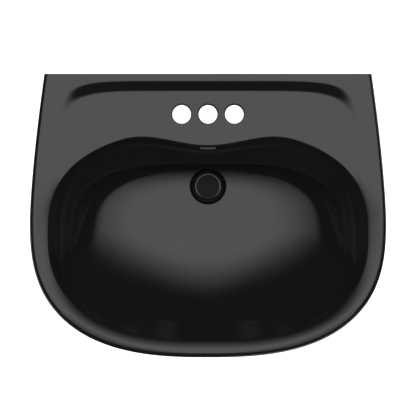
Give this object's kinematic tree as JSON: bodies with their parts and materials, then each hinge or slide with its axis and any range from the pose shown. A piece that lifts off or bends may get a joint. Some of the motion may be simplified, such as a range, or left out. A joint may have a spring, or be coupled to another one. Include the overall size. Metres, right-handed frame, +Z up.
{
  "type": "pedestal sink",
  "caption": "Glazed china basin with a wide oval bowl, raised back ledge and overflow, on a hollow china pedestal, with a push-to-close drain.",
  "frame": {"origin": "on the floor, under the centre of the overall box", "axes": "+Z up; the user stands on the -Y side; the wall is the plane at +Y"},
  "size_m": [0.6861, 0.5459, 0.85],
  "materials": {
    "glaze": "gloss black glaze over vitreous china",
    "drain_metal": "black coated brass, satin",
    "seal_rubber": "matt black rubber",
    "washer_plastic": "natural polythene",
    "locknut_brass": "plain turned brass",
    "tail_brass": "black coated brass tube",
    "latch_plastic": "white acetal",
    "spring_steel": "stainless spring wire",
    "stem_brass": "plain turned brass"
  },
  "bodies": {
    "sink": {"basin": "glaze", "pedestal": "glaze", "drain_body": "drain_metal", "flange_gasket": "seal_rubber", "mack_gasket": "seal_rubber", "friction_washer": "washer_plastic", "locknut": "locknut_brass", "tailpiece": "tail_brass", "tailpiece_seal": "seal_rubber", "latch_housing": "latch_plastic", "latch_spring": "spring_steel"},
    "stopper": {"stem": "stem_brass", "stopper_cap": "drain_metal", "stopper_seal": "seal_rubber"},
    "latch": {"latch_rotor": "latch_plastic"}
  },
  "joints": [
    {"name": "stopper_slide", "type": "slide", "parent": "sink", "child": "stopper", "axis": [0, 0, 1], "range_m": [-0.009, 0], "stiffness_N_per_m": 600, "springref_m": 0.015, "deforming": ["latch_spring"]},
    {"name": "latch_turn", "type": "hinge", "parent": "stopper", "child": "latch", "pos_m": [0, 0.058, 0.6856], "axis": [0, 0, 1], "continuous": true}
  ]
}
